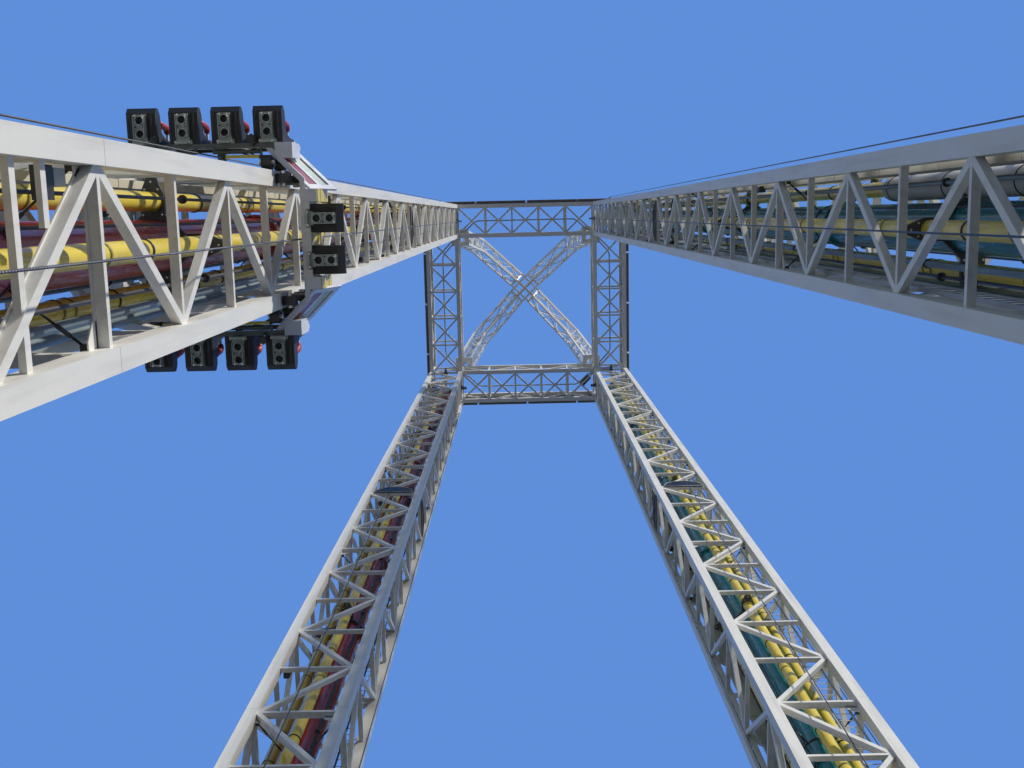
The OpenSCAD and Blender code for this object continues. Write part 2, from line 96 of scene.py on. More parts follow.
sun = bpy.data.lights.new("sun", "SUN")
sun.energy = 3.7
sun.angle = 0.04
sun.color = (1.0, 0.95, 0.86)
lamp = bpy.data.objects.new("sun", sun)
bpy.context.collection.objects.link(lamp)
sun_way = Vector((-0.60, 0.62, -0.50))
lamp.rotation_euler = sun_way.to_track_quat("-Z", "Y").to_euler()

floor_end = 90
floor_mesh = bpy.data.meshes.new("floor")
floor_mesh.from_pydata([(x * floor_end, y * floor_end, 0)
                        for x, y in ((-1, -1), (1, -1), (1, 1), (-1, 1))], [], [(0, 1, 2, 3)])
floor = bpy.data.objects.new("floor", floor_mesh)
bpy.context.collection.objects.link(floor)
floor_paint = bpy.data.materials.new("floor")
floor_paint.use_nodes = True
ground = floor_paint.node_tree.nodes
ground_links = floor_paint.node_tree.links
ground_shader = ground["Principled BSDF"]
ground_shader.inputs["Roughness"].default_value = 0.8
shade_mix = ground.new("ShaderNodeMix")
shade_mix.data_type = "RGBA"
shade_mix.inputs["A"].default_value = (0.050, 0.072, 0.125, 1.0)
shade_mix.inputs["B"].default_value = (0.64, 0.65, 0.66, 1.0)
ground_links.new(seen_rays(ground, ground_links), shade_mix.inputs["Factor"])
ground_links.new(shade_mix.outputs["Result"], ground_shader.inputs["Base Color"])
floor_mesh.materials.append(floor_paint)


# White steelwork of the towers, the ring and the peak. It is sprayed two-pack paint on
# square tube: dirt runs down it in streaks, and it is duller where rain washes it.
def paint(name, colour, dirt, rough=0.35, streaks=0.5, grain=0.12, metal=0.0, coat=0.0):
    """A painted or bare metal surface with runs, patches and specks of dirt."""
    material = bpy.data.materials.new(name)
    material.use_nodes = True
    nodes = material.node_tree.nodes
    links = material.node_tree.links
    shader = nodes["Principled BSDF"]
    shader.inputs["Metallic"].default_value = metal
    shader.inputs["Coat Weight"].default_value = coat
    place = nodes.new("ShaderNodeTexCoord")

    def noise(rise, scale, detail):
        turn = nodes.new("ShaderNodeMapping")
        turn.inputs["Scale"].default_value = (1.0, 1.0, rise)
        links.new(place.outputs["Object"], turn.inputs["Vector"])
        cloud = nodes.new("ShaderNodeTexNoise")
        cloud.inputs["Scale"].default_value = scale
        cloud.inputs["Detail"].default_value = detail
        links.new(turn.outputs["Vector"], cloud.inputs["Vector"])
        return cloud.outputs["Fac"]

    def spread(value, *limits):
        span = nodes.new("ShaderNodeMapRange")
        for label, limit in zip(("From Min", "From Max", "To Min", "To Max"), limits):
            span.inputs[label].default_value = limit
        links.new(value, span.inputs["Value"])
        return span.outputs["Result"]

    def blend(first, second, amount):
        mix = nodes.new("ShaderNodeMix")
        mix.data_type = "RGBA"
        for socket, value in ((mix.inputs["A"], first), (mix.inputs["B"], second)):
            if isinstance(value, tuple):
                socket.default_value = (*value, 1.0)
            else:
                links.new(value, socket)
        links.new(amount, mix.inputs["Factor"])
        return mix.outputs["Result"]

    runs = spread(noise(0.07, 70.0, 5.0), 0.50, 0.78, 0.0, streaks)
    patches = spread(noise(1.0, 9.0, 3.0), 0.35, 0.75, 0.0, 0.5 * streaks)
    specks = spread(noise(1.0, 420.0, 2.0), 0.66, 0.74, 0.0, 0.6 * streaks)
    shade = tuple(0.86 * c for c in colour)
    links.new(blend(blend(blend(colour, shade, patches), dirt, runs), dirt, specks),
              shader.inputs["Base Color"])
    links.new(spread(noise(0.3, 38.0, 4.0), 0.3, 0.75, rough - 0.1, rough + 0.16),
              shader.inputs["Roughness"])
    bump = nodes.new("ShaderNodeBump")
    bump.inputs["Strength"].default_value = grain
    bump.inputs["Distance"].default_value = 0.0006
    links.new(noise(1.0, 260.0, 3.0), bump.inputs["Height"])
    links.new(bump.outputs["Normal"], shader.inputs["Normal"])
    return material


def dress(material, *names):
    for name in names:
        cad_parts[name].material_slots[0].material = material


def level(k):
    """Height of lattice level k of the towers."""
    return 0.030 + k * panel_h


TOWERS = {"front_left": (-1, -1), "front_right": (1, -1),
          "back_left": (-1, 1), "back_right": (1, 1)}
post_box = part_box("tower_posts")
tower_w = 0.220
half = post_box[1].x - tower_w / 2
post_w = 0.025
post_c = tower_w / 2 - post_w / 2
panel_h = 0.2277
ring_z = level(32)
white = paint("tower_white", (0.80, 0.79, 0.75), (0.46, 0.42, 0.35), rough=0.38, streaks=0.42)
dress(white, "tower_posts", "ring_beams", "peak_arms", "peak_hub",
      *[name + "_bracing" for name in TOWERS])


# Weld beads on the posts. The towers came in sections five panels long, and a flat
# bead runs round each post where two sections meet.
def grown(name, points, build, sizes, material, slot, body="structure", facing=None):
    """One copy of a small solid on each point, its Z axis along that point's facing."""
    mesh = bpy.data.meshes.new(name)
    mesh.from_pydata(points, [], [])
    aim = mesh.attributes.new("facing", "FLOAT_VECTOR", "POINT")
    aim.data.foreach_set("vector", [c for v in facing or [(0, 0, 1)] * len(points) for c in v])
    piece = bpy.data.objects.new(name, mesh)
    bpy.context.collection.objects.link(piece)
    tree = bpy.data.node_groups.new(name + "_tree", "GeometryNodeTree")
    for way in ("INPUT", "OUTPUT"):
        tree.interface.new_socket("Geometry", in_out=way, socket_type="NodeSocketGeometry")
    keys = {}
    for label, value in sizes.items():
        kind = "NodeSocketInt" if isinstance(value, int) else "NodeSocketFloat"
        socket = tree.interface.new_socket(label, in_out="INPUT", socket_type=kind)
        keys[label] = socket.identifier
    nodes = tree.nodes
    links = tree.links
    start = nodes.new("NodeGroupInput")
    finish = nodes.new("NodeGroupOutput")
    copies = nodes.new("GeometryNodeInstanceOnPoints")
    attribute = nodes.new("GeometryNodeInputNamedAttribute")
    attribute.data_type = "FLOAT_VECTOR"
    attribute.inputs["Name"].default_value = "facing"
    align = nodes.new("FunctionNodeAlignRotationToVector")
    align.axis = "Z"
    solid = nodes.new("GeometryNodeRealizeInstances")
    coat = nodes.new("GeometryNodeSetMaterial")
    coat.inputs["Material"].default_value = material
    links.new(start.outputs["Geometry"], copies.inputs["Points"])
    links.new(build(nodes, links, start), copies.inputs["Instance"])
    links.new(attribute.outputs["Attribute"], align.inputs["Vector"])
    links.new(align.outputs["Rotation"], copies.inputs["Rotation"])
    links.new(copies.outputs["Instances"], solid.inputs["Geometry"])
    links.new(solid.outputs["Geometry"], coat.inputs["Geometry"])
    links.new(coat.outputs["Geometry"], finish.inputs["Geometry"])
    modifier = piece.modifiers.new("copies", "NODES")
    modifier.node_group = tree
    for label, value in sizes.items():
        modifier[keys[label]] = value
    ready = piece.evaluated_get(bpy.context.evaluated_depsgraph_get())
    piece.data = bpy.data.meshes.new_from_object(ready)
    piece.modifiers.clear()
    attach(piece, body)


def brick(nodes, links, start):
    cube = nodes.new("GeometryNodeMeshCube")
    size = nodes.new("ShaderNodeCombineXYZ")
    for axis, label in (("X", "Width"), ("Y", "Depth"), ("Z", "Height")):
        links.new(start.outputs[label], size.inputs[axis])
    links.new(size.outputs["Vector"], cube.inputs["Size"])
    return cube.outputs["Mesh"]


weld = paint("weld_bead", (0.74, 0.73, 0.69), (0.52, 0.48, 0.42), rough=0.5, grain=0.5)
section_ends = range(5, 31, 5)
bead_w = post_w + 0.0004
post_axes = [(sx * half + x * post_c, sy * half + y * post_c)
             for sx, sy in TOWERS.values() for x in (-1, 1) for y in (-1, 1)]
beads = [(x, y, level(k) + 0.004) for x, y in post_axes for k in section_ends]
grown("post_weld_beads", beads, brick, {"Width": bead_w, "Depth": bead_w, "Height": 0.0016},
      weld, "tower_white")


# Gusset plates at the ends of the sections. They are white plates welded behind the
# bars, with a doubling strip along the bar across and along the diagonal below it.
def placed(name, form, material, body="structure", smooth=False):
    """A given mesh becomes a piece that rides on its body."""
    bmesh.ops.recalc_face_normals(form, faces=form.faces)
    mesh = bpy.data.meshes.new(name)
    form.to_mesh(mesh)
    form.free()
    if smooth:
        mesh.shade_smooth()
    piece = bpy.data.objects.new(name, mesh)
    bpy.context.collection.objects.link(piece)
    piece.data.materials.append(material)
    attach(piece, body)
    return piece


def add_plate(form, matrix, outline, depth):
    """A flat plate: the outline lies in the local XY plane, and it is thick along Z."""
    low = [form.verts.new(matrix @ Vector((x, y, 0.0))) for x, y in outline]
    high = [form.verts.new(matrix @ Vector((x, y, depth))) for x, y in outline]
    form.faces.new(low)
    form.faces.new(high)
    for i in range(len(outline)):
        j = (i + 1) % len(outline)
        form.faces.new((low[i], low[j], high[j], high[i]))


def oblong(x0, x1, y0, y1):
    return [(x0, y0), (x1, y0), (x1, y1), (x0, y1)]


def shift(x, y, z):
    return Matrix.Translation((x, y, z))


def quarter(i, x=0.0, y=0.0, z=0.0):
    """A frame at a point, turned by i quarter turns: its -Y points out of side i."""
    return shift(x, y, z) @ Matrix.Rotation(math.radians(90 * i), 4, "Z")


def tower_sides(z=0.0):
    """A frame on the axis of each tower for each of its four sides."""
    return [quarter(i, sx * half, sy * half, z) for sx, sy in TOWERS.values() for i in range(4)]


def standing(x, y, z, flip=1, way=1):
    """Stands a drawing up: X across, or mirrored, Y up, and its depth along way times Y."""
    return Matrix(((flip, 0, 0, x), (0, 0, way, y), (0, 1, 0, z), (0, 0, 0, 1)))


inner = post_c - post_w / 2
gusset = [(0.0, -0.026), (0.0, 0.024), (-0.008, 0.024), (-0.026, 0.010), (-0.026, -0.012),
          (-0.009, -0.026)]
gusset_y = -0.0918
slope = math.atan2(panel_h, 2 * inner)
run = math.hypot(panel_h, 2 * inner) / 2 - 0.012
across_strip = oblong(-inner, inner, -0.0068, 0.0068)
slope_strip = oblong(-run, run, -0.0083, 0.0083)
form = bmesh.new()
for k in section_ends:
    for i, turn in enumerate(tower_sides(level(k))):
        for side in (-1, 1):
            add_plate(form, turn @ standing(side * inner, gusset_y, 0.0, side), gusset, 0.0016)
        add_plate(form, turn @ standing(0.0, gusset_y, 0.0), across_strip, 0.0020)
        lean = 1 if (k + i) % 2 else -1
        lay = turn @ standing(0.0, gusset_y, -panel_h / 2, lean)
        add_plate(form, lay @ Matrix.Rotation(slope, 4, "Z"), slope_strip, 0.0018)
placed("gusset_plates", form, white)


# Feet. Each plate is galvanised, with four anchor studs, washers and nuts, and with
# welded stiffeners that brace the post on all four sides.
def bolt(nodes, links, start):
    head = nodes.new("GeometryNodeMeshCylinder")
    head.fill_type = "NGON"
    for label in ("Vertices", "Radius", "Depth"):
        links.new(start.outputs[label], head.inputs[label])
    return head.outputs["Mesh"]


def bolts(name, points, sides, radius, depth, *finish, **more):
    """Heads, nuts, studs or discs of one size: their axes follow the facing."""
    grown(name, points, bolt, {"Vertices": sides, "Radius": radius, "Depth": depth},
          *finish, **more)


galvanised = paint("galvanised", (0.50, 0.51, 0.52), (0.32, 0.31, 0.29), rough=0.45, metal=0.7,
                   grain=0.3)
zinc = paint("zinc", (0.56, 0.56, 0.55), (0.30, 0.24, 0.18), rough=0.34, metal=0.9, grain=0.2)
dress(galvanised, "foot_plates")
foot_t = 0.006
stud_off = 0.023
rib_t = 0.0018
for name, z, sides, radius, tall in (("anchor_washers", 0.0065, 16, 0.0046, 0.0010),
                                     ("anchor_nuts", 0.0088, 6, 0.0037, 0.0036),
                                     ("anchor_studs", 0.0120, 12, 0.0018, 0.0036)):
    spots = [(x + u * stud_off, y + v * stud_off, z)
             for x, y in post_axes for u in (-1, 1) for v in (-1, 1)]
    bolts(name, spots, sides, radius, tall, zinc, "foot_grey")
form = bmesh.new()
rib = [(0.0, 0.0), (0.0155, 0.0), (0.0155, 0.004), (0.003, 0.026), (0.0, 0.026)]
for x, y in post_axes:
    for i in range(4):
        lay = quarter(i, x, y, foot_t) @ standing(post_w / 2, -rib_t / 2, 0.0)
        add_plate(form, lay, rib, rib_t)
placed("foot_stiffeners", form, white)


# Air receivers. One long painted pipe stands on the axis of each tower, rolled from
# plate, with bolted flanges and a gasket in each flange joint.
def hoop(nodes, links, start):
    circle = nodes.new("GeometryNodeCurvePrimitiveCircle")
    links.new(start.outputs["Vertices"], circle.inputs["Resolution"])
    links.new(start.outputs["Radius"], circle.inputs["Radius"])
    section = nodes.new("GeometryNodeCurvePrimitiveQuadrilateral")
    links.new(start.outputs["Thickness"], section.inputs["Width"])
    links.new(start.outputs["Height"], section.inputs["Height"])
    swept = nodes.new("GeometryNodeCurveToMesh")
    links.new(circle.outputs["Curve"], swept.inputs["Curve"])
    links.new(section.outputs["Curve"], swept.inputs["Profile Curve"])
    return swept.outputs["Mesh"]


def hoops(name, points, sides, radius, thick, tall, *finish):
    """Flat bands of one size round an upright pipe."""
    grown(name, points, hoop, {"Vertices": sides, "Radius": radius, "Thickness": thick,
                               "Height": tall}, *finish)


def circle_points(count, radius, start=0.0):
    turns = [start + 2 * math.pi * i / count for i in range(count)]
    return [(radius * math.cos(a), radius * math.sin(a)) for a in turns]


red = paint("receiver_red", (0.40, 0.030, 0.028), (0.16, 0.015, 0.03), rough=0.28, streaks=0.7,
            coat=0.3)
teal = paint("receiver_teal", (0.008, 0.23, 0.29), (0.004, 0.08, 0.11), rough=0.28, streaks=0.7,
             coat=0.3)
dress(red, "red_air_receivers")
dress(teal, "teal_air_receivers")
black = paint("black_fittings", (0.020, 0.021, 0.024), (0.07, 0.065, 0.06), rough=0.5, streaks=0.6)
air_r = 0.036
gaskets = [(sx * half, sy * half, level(k + 0.5))
           for sx, sy in TOWERS.values() for k in range(3, 31, 6)]
flange_bolts = [(x + u, y + v, z) for x, y, z in gaskets
                for u, v in circle_points(14, air_r + 0.0038)]
bolts("flange_bolts", flange_bolts, 6, 0.0017, 0.0135, black, "dark_steel")
hoops("flange_gaskets", gaskets, 32, air_r + 0.0068, 0.0010, 0.0022, black, "dark_steel")

# Launch cylinders. Yellow tubes in lengths: at each joint a pair of olive bands is painted
# shadow, for the shadows that the lattice bars cast on the tube, and a black strap goes round the
# length above it.
yellow = paint("cylinder_yellow", (0.80, 0.62, 0.06), (0.36, 0.30, 0.05), rough=0.28,
               streaks=0.4, coat=0.25)
# Painted shadow: the olive bands stand for the shadows of the lattice bars on the yellow tubes.
bar_shadow_olive = paint("band_painted_shadow", (0.26, 0.23, 0.06), (0.08, 0.08, 0.03), rough=0.4, streaks=0.6)
dress(yellow, "launch_cylinders")
cyl_r = 0.013
cyl_off = 0.060
cyl_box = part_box("launch_cylinders")
tube_len = 0.455
bands = []
straps = []
for n, turn in enumerate(tower_sides()):
    x, y, z = turn @ Vector((0.0, -cyl_off, cyl_box[0].z + 0.16 + 0.045 * (n % 4)))
    while z < cyl_box[1].z - 0.12:
        bands += [(x, y, z), (x, y, z + 0.030)]
        straps.append((x, y, z + 0.16))
        z += tube_len
hoops("cylinder_shadow_bands", bands, 16, cyl_r + 0.0004, 0.0014, 0.0050, bar_shadow_olive, "yellow_paint")
hoops("cylinder_straps", straps, 16, cyl_r + 0.0007, 0.0016, 0.0035, black, "dark_steel")


# Silencer. The lowest stretch of one cylinder in the front right tower is wrapped in a
# thicker pale grey sleeve with black bands.
def join_loops(form, loops):
    """Closes the skin between each loop of points and the next."""
    for low, high in zip(loops, loops[1:]):
        for i in range(len(low)):
            j = (i + 1) % len(low)
            form.faces.new((low[i], low[j], high[j], high[i]))


grey = paint("sleeve_grey", (0.50, 0.50, 0.48), (0.24, 0.25, 0.27), rough=0.5, streaks=0.6)
sleeve_x = half
sleeve_y = -half - cyl_off
profile = [(cyl_r, 0.60), (0.0190, 0.60), (0.0198, 0.605), (0.0198, 1.934), (0.0190, 1.940),
           (cyl_r, 1.940)]
form = bmesh.new()
loops = [[form.verts.new((sleeve_x + u, sleeve_y + v, z)) for u, v in circle_points(40, r)]
         for r, z in profile]
join_loops(form, loops + loops[:1])
placed("cylinder_sleeve", form, grey, smooth=True)
hoops("sleeve_bands", [(sleeve_x, sleeve_y, 0.80 + 0.223 * k) for k in range(6)],
      40, 0.0202, 0.0009, 0.0022, black, "dark_steel")

# Clamp plates. Dark steel plates hold the pipes, with five bolts on each of their arms.
dark = paint("dark_steel", (0.055, 0.058, 0.062), (0.13, 0.10, 0.08), rough=0.42, streaks=0.6,
             metal=0.3)
dress(dark, "clamp_plates", "cable_sheaves")
clamp_holes = ((-0.0130, 0.0425), (0.0130, 0.0425), (-0.0090, 0.0765), (0.0090, 0.0765),
               (0.0, 0.0865))
spots = [turn @ Vector((u, v, 0.0)) for k in range(1, 32, 6) for turn in tower_sides(level(k))
         for u, v in clamp_holes]
bolts("clamp_bolts", spots, 6, 0.0015, 0.0100, zinc, "dark_steel")


# Haul cables. Laid steel rope, bright where it is wiped. It goes over a sheave at each
# end and down or up to a socket on the head of its launch cylinder.
def add_tube(form, matrix, path, radius, sides=10):
    """A round tube along a path, with its section kept from twisting."""
    points = [matrix @ Vector(p) for p in path]
    side = None
    loops = []
    for i, p in enumerate(points):
        along = (points[min(i + 1, len(points) - 1)] - points[max(i - 1, 0)]).normalized()
        if side is None:
            side = along.orthogonal().normalized()
        side = (side - along * side.dot(along)).normalized()
        other = along.cross(side)
        r = radius[i] if isinstance(radius, list) else radius
        loops.append([form.verts.new(p + u * side + v * other)
                      for u, v in circle_points(sides, r)])
    join_loops(form, loops)
    form.faces.new(loops[0])
    form.faces.new(loops[-1])


rope = paint("wire_rope", (0.10, 0.10, 0.105), (0.03, 0.028, 0.025), rough=0.42, streaks=0.8,
             metal=0.8)
rope_nodes = rope.node_tree.nodes
wires = rope_nodes.new("ShaderNodeTexWave")
wires.bands_direction = "DIAGONAL"
wires.inputs["Scale"].default_value = 130.0
lay_point = rope_nodes.new("ShaderNodeTexCoord")
rope.node_tree.links.new(lay_point.outputs["Object"], wires.inputs["Vector"])
rope.node_tree.links.new(wires.outputs["Fac"], rope_nodes["Bump"].inputs["Height"])
rope_nodes["Bump"].inputs["Strength"].default_value = 0.9
dress(rope, "haul_cables")
cable_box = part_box("haul_cables")
cable_off = 0.137
cable_r = 0.0013
sheave_c = (cable_off + cyl_off) / 2
bend_r = (cable_off - cyl_off) / 2
ropes = bmesh.new()
sockets = bmesh.new()
for turn in tower_sides():
    for z, head, way in ((cable_box[1].z, cyl_box[1].z, 1), (cable_box[0].z, cyl_box[0].z, -1)):
        bend = [(0.0, -sheave_c - bend_r * math.cos(math.pi * k / 18),
                 z + way * bend_r * math.sin(math.pi * k / 18)) for k in range(19)]
        fall = [(0.0, -cyl_off, z + (head - z) * f) for f in (0.3, 0.65, 0.98)]
        add_tube(ropes, turn, bend + fall, cable_r, sides=8)
        tip = [(0.0, -cyl_off, head + way * rise) for rise in (0.0, 0.006, 0.018)]
        add_tube(sockets, turn, tip, [0.0055, 0.0050, 0.0022], sides=16)
placed("cable_bends", ropes, rope, smooth=True)
placed("cable_sockets", sockets, zinc, smooth=True)

# Sheaves. Each turns between two cheeks on an axle with a nut at both ends, and has a
# ring of six black discs in its web.
nuts = []
nut_faces = []
discs = []
disc_faces = []
for turn in tower_sides():
    way = turn.to_3x3() @ Vector((1, 0, 0))
    for z in (cable_box[0].z, cable_box[1].z):
        nuts += [turn @ Vector((x, -sheave_c, z)) for x in (-0.0135, 0.0135)]
        nut_faces += [way] * 2
        discs += [turn @ Vector((0.0, v - sheave_c, z + w))
                  for v, w in circle_points(6, 0.0225, math.radians(30))]
        disc_faces += [way] * 6
bolts("axle_nuts", nuts, 6, 0.0062, 0.0040, zinc, "dark_steel", facing=nut_faces)
bolts("sheave_discs", discs, 18, 0.0058, 0.0104, black, "dark_steel", facing=disc_faces)

# Half-round panels half way up each tower. Dark glossy covers with a pale rim round the
# edge and four black slats across.
gloss = paint("panel_gloss", (0.018, 0.020, 0.028), (0.07, 0.075, 0.08), rough=0.22, streaks=0.4,
              coat=0.4)
dress(gloss, "status_panels")
rim_r = 0.0730
slat_r = 0.070
rim_y = -0.1078
slat_y = -0.1080
rims = bmesh.new()
slats = bmesh.new()
for turn in tower_sides(level(18)):
    edge = [(rim_r * math.cos(math.pi * k / 24), rim_y, rim_r * math.sin(math.pi * k / 24) + 0.0006)
            for k in range(25)]
    add_tube(rims, turn, edge + [edge[0]], 0.0011, sides=6)
    for z in (0.014, 0.028, 0.042, 0.056):
        w = math.sqrt(slat_r ** 2 - z ** 2)
        add_plate(slats, turn @ standing(0.0, slat_y, z), oblong(-w, w, 0.0, 0.003), 0.0012)
placed("panel_rims", rims, grey, smooth=True)
placed("panel_slats", slats, black)

# Ladders. Each tower has one of galvanised steel inside its back face, or in the back
# right tower inside its front face, with round rungs and brackets to the post.
ladder = (0.030, 0.070)
ladder_y = -0.0815
form = bmesh.new()
rungs = []
for sx, sy in TOWERS.values():
    turn = quarter(0 if sx + sy == 2 else 2, sx * half, sy * half)
    if sx < 0 < sy:
        turn = turn @ Matrix.Diagonal((-1, 1, 1, 1))
    for x in ladder:
        add_plate(form, turn @ shift(x, ladder_y, 0.012), oblong(-0.0012, 0.0012, -0.003, 0.003),
                  ring_z - 0.05)
    for k in range(1, 31, 2):
        add_plate(form, turn @ shift(ladder[1], ladder_y, level(k) - 0.002),
                  oblong(0.0, 0.016, -0.0015, 0.0015), 0.004)
    rungs += [turn @ Vector((sum(ladder) / 2, ladder_y, 0.04 + 0.030 * k)) for k in range(240)]
placed("ladder_rails", form, galvanised)
bolts("ladder_rungs", rungs, 8, 0.0011, ladder[1] - ladder[0], galvanised, "foot_grey",
      facing=[(1, 0, 0)] * len(rungs))

# Stays. At the ends of the sections a black end fitting sits in each post corner, and a
# steel rod runs from it to a collar on the air receiver and keeps the pipe central.
fittings = bmesh.new()
rods = bmesh.new()
rod_ends = Vector((-0.0825, -0.0825, -0.0125)), Vector((-0.0262, -0.0262, -0.034))
rod_steps = ((0, 0.0014), (0.18, 0.0014), (0.19, 0.0024), (0.38, 0.0024), (0.39, 0.0013),
             (0.70, 0.0013), (0.71, 0.0022), (0.84, 0.0022), (0.85, 0.0014), (1, 0.0014))
for k in section_ends:
    for turn in tower_sides(level(k)):
        add_plate(fittings, turn @ shift(0, 0, -0.018),
                  oblong(-0.0890, -0.0800, -0.0890, -0.0800), 0.011)
        add_tube(rods, turn, [rod_ends[0].lerp(rod_ends[1], f) for f, r in rod_steps],
                 [r for f, r in rod_steps], sides=8)
placed("stay_fittings", fittings, black)
placed("stay_rods", rods, black, smooth=True)
hoops("stay_collars", [(sx * half, sy * half, level(k) - 0.034)
                       for sx, sy in TOWERS.values() for k in section_ends],
      40, air_r + 0.0006, 0.0016, 0.0060, black, "dark_steel")

# Release valves. Low in each tower, between the launch cylinders, four black valve bodies
# with domed caps vent the air, and each has a hose to the cylinder on either side of it.
valves = bmesh.new()
vent_hoses = bmesh.new()
valve_c = 0.0435
valve_line = ((0.925, 0.0050), (0.927, 0.0085), (0.948, 0.0085), (0.949, 0.0105),
              (0.954, 0.0105), (0.955, 0.0075), (0.971, 0.0075), (0.972, 0.0098),
              (0.977, 0.0098), (0.981, 0.0085), (0.984, 0.0050))
arch = ((valve_c, -valve_c, 0.980), (0.0425, -0.0440, 0.996), (0.0380, -0.0465, 1.009),
        (0.0310, -0.0500, 1.015), (0.0240, -0.0535, 1.011), (0.0185, -0.0560, 1.000),
        (0.0150, -0.0575, 0.985), (0.0115, -0.0590, 0.975))
for turn in tower_sides():
    add_tube(valves, turn, [(valve_c, -valve_c, z) for z, r in valve_line],
             [r for z, r in valve_line], sides=20)
    for hose in (arch, [(-y, -x, z) for x, y, z in arch]):
        add_tube(vent_hoses, turn, hose, 0.0030, sides=12)
placed("release_valves", valves, black)
placed("vent_hoses", vent_hoses, black, smooth=True)

# Services in each tower: black hoses, a cream cable duct in lengths inside the outer face,
# black junction boxes in the corners, and a grey cabinet on the side to the centre. The
# front towers also have steel air lines, and two grey pipes inside the back face.
cream = paint("duct_cream", (0.58, 0.55, 0.45), (0.30, 0.27, 0.20), rough=0.5, streaks=0.7)
line_steel = paint("air_line_steel", (0.17, 0.22, 0.24), (0.05, 0.06, 0.06), rough=0.4, metal=0.3)
hose_spots = ((-0.046, 0.064, 0.0025, 6.4), (0.068, 0.044, 0.0025, 7.1),
              (0.044, -0.062, 0.0022, 7.1))
line_spots = ((-0.044, -0.062, 0.0035, 7.1), (-0.066, 0.046, 0.0045, 7.1),
              (0.046, 0.066, 0.0055, 3.2))
box_spots = ((-0.083, 0.068, 3), (0.069, 0.069, 4), (-0.083, -0.083, 11), (0.069, 0.069, 13),
             (-0.083, 0.069, 17), (0.069, -0.083, 22), (-0.083, 0.069, 27))
box_form = [(0, 0.0015), (0.0015, 0), (0.0125, 0), (0.014, 0.0015), (0.014, 0.0125),
            (0.0125, 0.014), (0.0015, 0.014), (0, 0.0125)]
line_z = 0.02
duct_w = 0.049
duct_d = 0.011
duct_y = 0.0835
duct_pitch = 0.228
lines = bmesh.new()
hoses = bmesh.new()
ducts = bmesh.new()
boxes = bmesh.new()
cabinets = bmesh.new()
clips = []
lids = []
for sx, sy in TOWERS.values():
    x0, y0 = sx * half, sy * half
    axis = shift(x0, y0, 0)
    runs = [(hoses, *spot) for spot in hose_spots]
    if sy < 0:
        runs += [(lines, *spot) for spot in line_spots]
        for x in (-0.022, 0.018):
            add_tube(lines, axis, [(x, 0.0830, line_z), (x, 0.0830, 3.4)], 0.0062, sides=14)
    for form, x, y, r, top in runs:
        add_tube(form, axis, [(x, y, line_z), (x, y, top)], r, sides=12)
        clips += [(x0 + x, y0 + y, level(k) - 0.012) for k in range(1, 31, 3) if level(k) < top]
    add_tube(hoses, axis, [(-sx * 0.0348, -0.0292, z) for z in (line_z, 6.9)], 0.0018, sides=12)
    for n in range(28):
        add_plate(ducts, shift(x0 - 0.073, y0 + sy * duct_y - duct_d / 2, 0.10 + duct_pitch * n),
                  oblong(0, duct_w, 0, duct_d), 0.2255)
        lids.append((x0 - 0.0485, y0 + sy * duct_y, 0.20 + duct_pitch * n))
    for x, y, k in box_spots:
        add_plate(boxes, shift(x0 + x, y0 + y, level(k) + 0.014), box_form, 0.024)
    side_x = x0 - sx * 0.083 - 0.007
    # A black block under each cabinet makes its underside dark.
    add_plate(boxes, shift(side_x, y0 - 0.083, 1.087), oblong(0, 0.014, 0, 0.030), 0.014)
    add_plate(cabinets, shift(side_x, y0 - 0.081, 1.103), oblong(0, 0.014, 0, 0.016), 0.024)
placed("air_lines", lines, line_steel)
placed("air_hoses", hoses, black)
placed("service_ducts", ducts, cream)
placed("junction_boxes", boxes, black)
placed("control_cabinets", cabinets, grey)
grown("duct_joints", lids, brick, {"Width": 0.0502, "Depth": 0.0122, "Height": 0.003}, grey,
      "foot_grey")
bolts("line_clips", clips, 10, 0.0062, 0.0040, black, "dark_steel")

# Bars for the cabinets. On the side to the centre of each front tower a bar across, and
# a short one to the diagonal, are welded behind the bracing and carry the boxes.
bar_x = 0.1015
form = bmesh.new()
for sx in (-1, 1):
    for z, end_y, thin in ((0.9945, inner, 0.0065), (1.0500, -0.0290, 0.0050)):
        add_plate(form, shift(sx * half, -half, z) @ Matrix.Diagonal((-sx, 1, 1, 1)),
                  oblong(bar_x - thin, bar_x, -inner, end_y), 0.0100)
placed("cabinet_bars", form, white)

# Ring of beams. A service pipe runs along the middle of each beam and turns to the inner
# corners, bolted splice plates join the chords to the towers, and a ribbed black box
# stands askew in the back beam, beside the back right tower.
end = half - tower_w / 2
pipe_half = [(-end + 0.004, -half + 0.080), (-end + 0.045, -half + 0.066),
             (-end + 0.105, -half + 0.010), (-end + 0.130, -half)]
pipe_path = [(x, y, ring_z + 0.014)
             for x, y in pipe_half + [(-x, y) for x, y in reversed(pipe_half)]]
splice_t = 0.0018
form = bmesh.new()
plates = bmesh.new()
spots = []
for i in range(4):
    turn = quarter(i)
    add_tube(form, turn, pipe_path, 0.0045, sides=12)
    for x in (-1, 1):
        for y in (-1, 1):
            for z in (ring_z - 0.0134, ring_z + panel_h + 0.0134):
                lay = turn @ shift(x * (end - 0.028), y * post_c - half, z - splice_t / 2)
                add_plate(plates, lay, oblong(-0.024, 0.024, -0.0105, 0.0105), splice_t)
                spots += [lay @ Vector((u, v, splice_t / 2)) for u in (-0.016, 0.0, 0.016)
                          for v in (-0.006, 0.006)]
junction = bmesh.new()
lay = shift(0.385, 0.535, ring_z + 0.0185) @ Matrix.Rotation(math.radians(-46), 4, "Z")
add_plate(junction, lay, oblong(-0.0425, 0.0425, -0.018, 0.018), 0.030)
for n in range(-3, 4):
    add_plate(junction, lay @ shift(0.012 * n, 0, -0.0008), oblong(-0.002, 0.002, -0.0195, 0.0195),
              0.0315)
placed("ring_junction_box", junction, black)
placed("ring_service_pipe", form, grey, smooth=True)
placed("splice_plates", plates, white)
